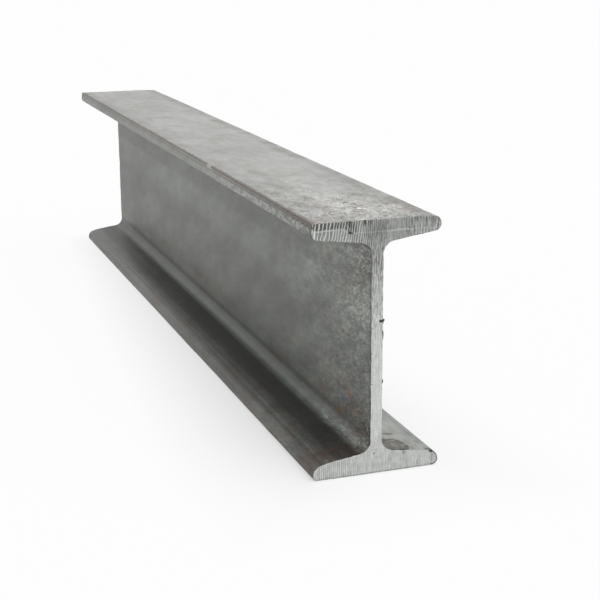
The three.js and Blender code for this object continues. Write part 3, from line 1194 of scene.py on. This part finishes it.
# Darker towards the top, except in the deep ridges, and darker at the foot. The top's coarser
# marks are part of it; the rest is a painted reflection of the pale floor, which brightens the
# lower part.
CUT_SHADES = [
    ("dull", -0.4),
    ("ridged", 0.5),
    ("foot", -0.14),
    ("beside_web", -0.12),
    ("right_toe", 0.22),
    ("throat", 0.25),
    ("stroke", 0.12),
    ("speckle", 0.1),
    ("tip", 0.35),
    ("bristle lip", 0.4),
    ("left_foot", 0.15),
    ("beside_stain", -0.16),
    ("blotch foot", 0.08),
    ("dark_dash scored", -0.24),
    ("light_dash scored", 0.26),
]
CUT_TINTS = [
    ("set_back clear", 0.55, "pale"),
    # Painted shadow along the cut's bottom rim and round the foot of its right toe.
    ("foot_rim", 0.42, "speck_and_rim_shadow"),
    ("toe_rim", 0.6, "speck_and_rim_shadow"),
    ("specks", 1.0, "speck_and_rim_shadow"),
    ("stains", 1.0, "stain"),
    ("pit", 0.9, "speck_and_rim_shadow"),
]


def sawn_steel_finish(saw, sizes):
    """Saw-cut steel: bright bare metal, with painted shade in its furrows, and darker towards the
    top.
    """
    finish, tree, place, shader = new_finish("sawn_steel", metallic=0.6, roughness=0.4)
    where = coordinates(tree, place)
    where["above"] = above_set_back(tree, where["x"], where["z"])
    where["rim"] = add(tree, "ShaderNodeAttribute", {}, "Fac", attribute_name="rim")
    shallow, deep = 0.01, 0.16
    furrow = add(tree, MAP_RANGE, (saw_furrows(tree, place, sizes), shallow * MM, deep * MM))
    parts = {
        "furrow": furrow,
        "specks": marked(tree, place, CUT_SPECKS),
        "stains": marked(tree, place, CUT_STAINS),
        "pit": add(tree, "ShaderNodeAttribute", {}, "Fac", attribute_name="pit"),
        **patch_set(tree, place, CUT_PATCHES),
        **patch_set(tree, place, CUT_SWINGS, BOTH_WAYS),
        **zone_set(tree, where, CUT_ZONES),
    }

    # The pale line where the saw was set back to its work is clearest at its two ends.
    clear = 0.4
    for part in ("line_left", "line_right"):
        clear = add(tree, MATH, (parts[part], clear), operation="MAXIMUM")
    parts["clear"] = clear

    # Painted shade in the saw's furrows.
    colour = tinted(tree, saw.bright, parts, saw, [("furrow", 1.0, "dark")])
    level = shaded(tree, 1.0, parts, CUT_SHADES)
    colour = add(tree, VECTOR_MATH, {0: colour, "Scale": level}, operation="SCALE")
    colour = tinted(tree, colour, parts, saw, CUT_TINTS)
    tree.links.new(colour, shader["Base Color"])
    return finish


# ---- The studio --------------------------------------------------

# The view: the beam's near end faces the camera, which stands a little to its left.
FRAME_PIXELS = 600
FOCAL_PIXELS = 1345.6
SENSOR = 36.0
NEAREST = 10.0  # what lies nearer to the camera than this isn't drawn
CAMERA_PLACE = (-150.2, -537.8, 161.1)
CAMERA_AZIMUTH = -19.35
CAMERA_ELEVATION = 15.244
CAMERA_ROLL = -0.315

KEY_SPREAD = 70.0  # how many degrees of the sky the soft lamp fills
KEY_FROM = (0.32, -0.32, 0.89)


def studio_camera():
    """The camera, low and to the left of the near end."""
    data = bpy.data.cameras.new("studio_camera")
    data.sensor_width = SENSOR
    data.lens = SENSOR * FOCAL_PIXELS / FRAME_PIXELS
    data.clip_start = NEAREST * MM
    camera = new_object("studio_camera", data)
    turn = Matrix.Rotation(math.radians(CAMERA_AZIMUTH), 4, "Z")
    tilt = Matrix.Rotation(math.radians(90 - CAMERA_ELEVATION), 4, "X")
    roll = Matrix.Rotation(math.radians(CAMERA_ROLL), 4, "Z")
    place = Matrix.Translation(Vector(CAMERA_PLACE) * MM)
    camera.matrix_world = place @ turn @ tilt @ roll
    return camera


def seen_share(tree):
    """1 for the rays that see a thing straight, mirrored or through glass, and 0 for the rest."""
    rays = add(tree, "ShaderNodeLightPath").node.outputs
    straight = add(tree, MATH, (rays["Is Camera Ray"], rays["Is Glossy Ray"]), operation="MAXIMUM")
    return add(tree, MATH, (straight, rays["Is Transmission Ray"]), operation="MAXIMUM")


def studio_floor(studio):
    """A wide pale floor. Much of its white is its own glow, painted light, more away from the
    beam.
    """
    half = 4000.0  # half of the floor's width
    sink = 0.1  # how far the floor lies under the beam
    glow_by_beam, glow_far, glow_behind = 0.56, 0.95, 0.28
    spread = 45.0  # how far from the beam the glow has risen in full
    mesh = bpy.data.meshes.new("studio_floor")
    corners = [(-half, -half), (half, -half), (half, half), (-half, half)]
    mesh.from_pydata([(x * MM, y * MM, -sink * MM) for x, y in corners], [], [(0, 1, 2, 3)])
    paint = bpy.data.materials.new("pale_matt_floor")
    tree = empty_tree(paint)
    matt = add(tree, "ShaderNodeBsdfDiffuse", {"Color": studio.floor_colour})
    white = add(tree, "ShaderNodeEmission", {"Color": linear("fefefe"), "Strength": 1.0})
    here = add(tree, "ShaderNodeTexCoord", out="Object")
    outward = add(tree, VECTOR_MATH, (here,), operation="ABSOLUTE")
    beside, beyond, _ = add(tree, "ShaderNodeSeparateXYZ", (outward,)).node.outputs
    # Painted light: the glow grows away from the beam and behind it, so the shadow thins there.
    glow = glow_by_beam
    for distance, reach in ((beside, BEAM_HIGH.x), (beyond, BEAM_HIGH.y)):
        rise = add(tree, MAP_RANGE, (distance, reach, reach + spread * MM, glow_by_beam, glow_far))
        glow = add(tree, MATH, (rise, glow), operation="MAXIMUM")
    back = add(tree, "ShaderNodeSeparateXYZ", (here,), "Y")
    behind = add(tree, MAP_RANGE, (back, BEAM_LOW.y, BEAM_HIGH.y, 0, glow_behind))
    glow = add(tree, MATH, (glow, behind), operation="ADD")
    glow = add(tree, MATH, (glow, glow_far), operation="MINIMUM")
    share = add(tree, MATH, (seen_share(tree), glow), operation="MULTIPLY")
    mixed = add(tree, "ShaderNodeMixShader", (share, matt, white))
    add(tree, "ShaderNodeOutputMaterial", {"Surface": mixed})
    mesh.materials.append(paint)
    return new_object("studio_floor", mesh)


def studio_light(studio):
    """Plain light from all round, and one very soft lamp above and to the right."""
    world = bpy.data.worlds.new("studio_world")
    tree = empty_tree(world)
    plain = linear("ffffff")
    light = add(tree, "ShaderNodeBackground", {"Color": plain, "Strength": studio.fill})
    white = add(tree, "ShaderNodeBackground", {"Color": plain, "Strength": 1.0})
    mixed = add(tree, "ShaderNodeMixShader", (seen_share(tree), light, white))
    add(tree, "ShaderNodeOutputWorld", {"Surface": mixed})
    bpy.context.scene.world = world
    key = bpy.data.lights.new("soft_key", "SUN")
    key.energy = studio.key_strength
    key.angle = math.radians(KEY_SPREAD)
    lamp = new_object("soft_key", key)
    lamp.matrix_world = Vector(KEY_FROM).to_track_quat("Z", "Y").to_matrix().to_4x4()


# ---- Operators, panel and registration ---------------------------

class BEAM_OT_roll(bpy.types.Operator):
    """Rolls the beam, saws it to length and gives it its finishes"""
    bl_idname = "beam.roll"
    bl_label = "Roll the beam"
    bl_options = {"REGISTER", "UNDO"}

    def execute(self, context):
        scene = context.scene
        section, skin, saw = scene.beam_section, scene.rolled_skin, scene.saw_cut
        values = beam_sizes(section, skin, saw)
        rolled = rolled_scale_finish(skin)
        sawn = sawn_steel_finish(saw, values)
        tree = beam_tree(values, rolled, sawn)
        beam = run_tree(corner_mesh(section_corners(section)), tree, values, "i_beam_rolled")
        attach(beam, "root")
        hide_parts(CAD_NODE)
        return {"FINISHED"}


class BEAM_OT_studio(bpy.types.Operator):
    """Sets up the pale floor, the soft light and the camera"""
    bl_idname = "beam.studio"
    bl_label = "Set up the studio"
    bl_options = {"REGISTER", "UNDO"}

    def execute(self, context):
        studio = context.scene.beam_studio
        studio_floor(studio)
        studio_light(studio)
        context.scene.camera = studio_camera()
        context.scene.view_settings.view_transform = "Standard"
        return {"FINISHED"}


class BEAM_PT_sidebar(bpy.types.Panel):
    """Lists the beam's sizes and colours and the buttons that make it"""
    bl_label = "Steel Beam"
    bl_idname = "BEAM_PT_sidebar"
    bl_space_type = "VIEW_3D"
    bl_region_type = "UI"
    bl_category = "Steel Beam"

    def draw(self, context):
        for name, group, operator in SECTIONS:
            box = self.layout.box()
            for setting in group.__annotations__:
                box.prop(getattr(context.scene, name), setting)
            if operator:
                box.operator(operator)


# The groups of settings: the name each has on the scene, and the button under it in the panel.
SECTIONS = [
    ("beam_section", BeamSection, None),
    ("rolled_skin", RolledSkin, None),
    ("saw_cut", SawCut, "beam.roll"),
    ("beam_studio", Studio, "beam.studio"),
]
CLASSES = [*(group for _, group, _ in SECTIONS), BEAM_OT_roll, BEAM_OT_studio, BEAM_PT_sidebar]


def register():
    for cls in CLASSES:
        bpy.utils.register_class(cls)
    for name, group, _ in SECTIONS:
        setattr(bpy.types.Scene, name, bpy.props.PointerProperty(type=group))


def unregister():
    for name, *_ in SECTIONS:
        delattr(bpy.types.Scene, name)
    for cls in reversed(CLASSES):
        bpy.utils.unregister_class(cls)


def main():
    register()
    bpy.ops.beam.roll()
    bpy.ops.beam.studio()


if __name__ == "__main__":
    main()
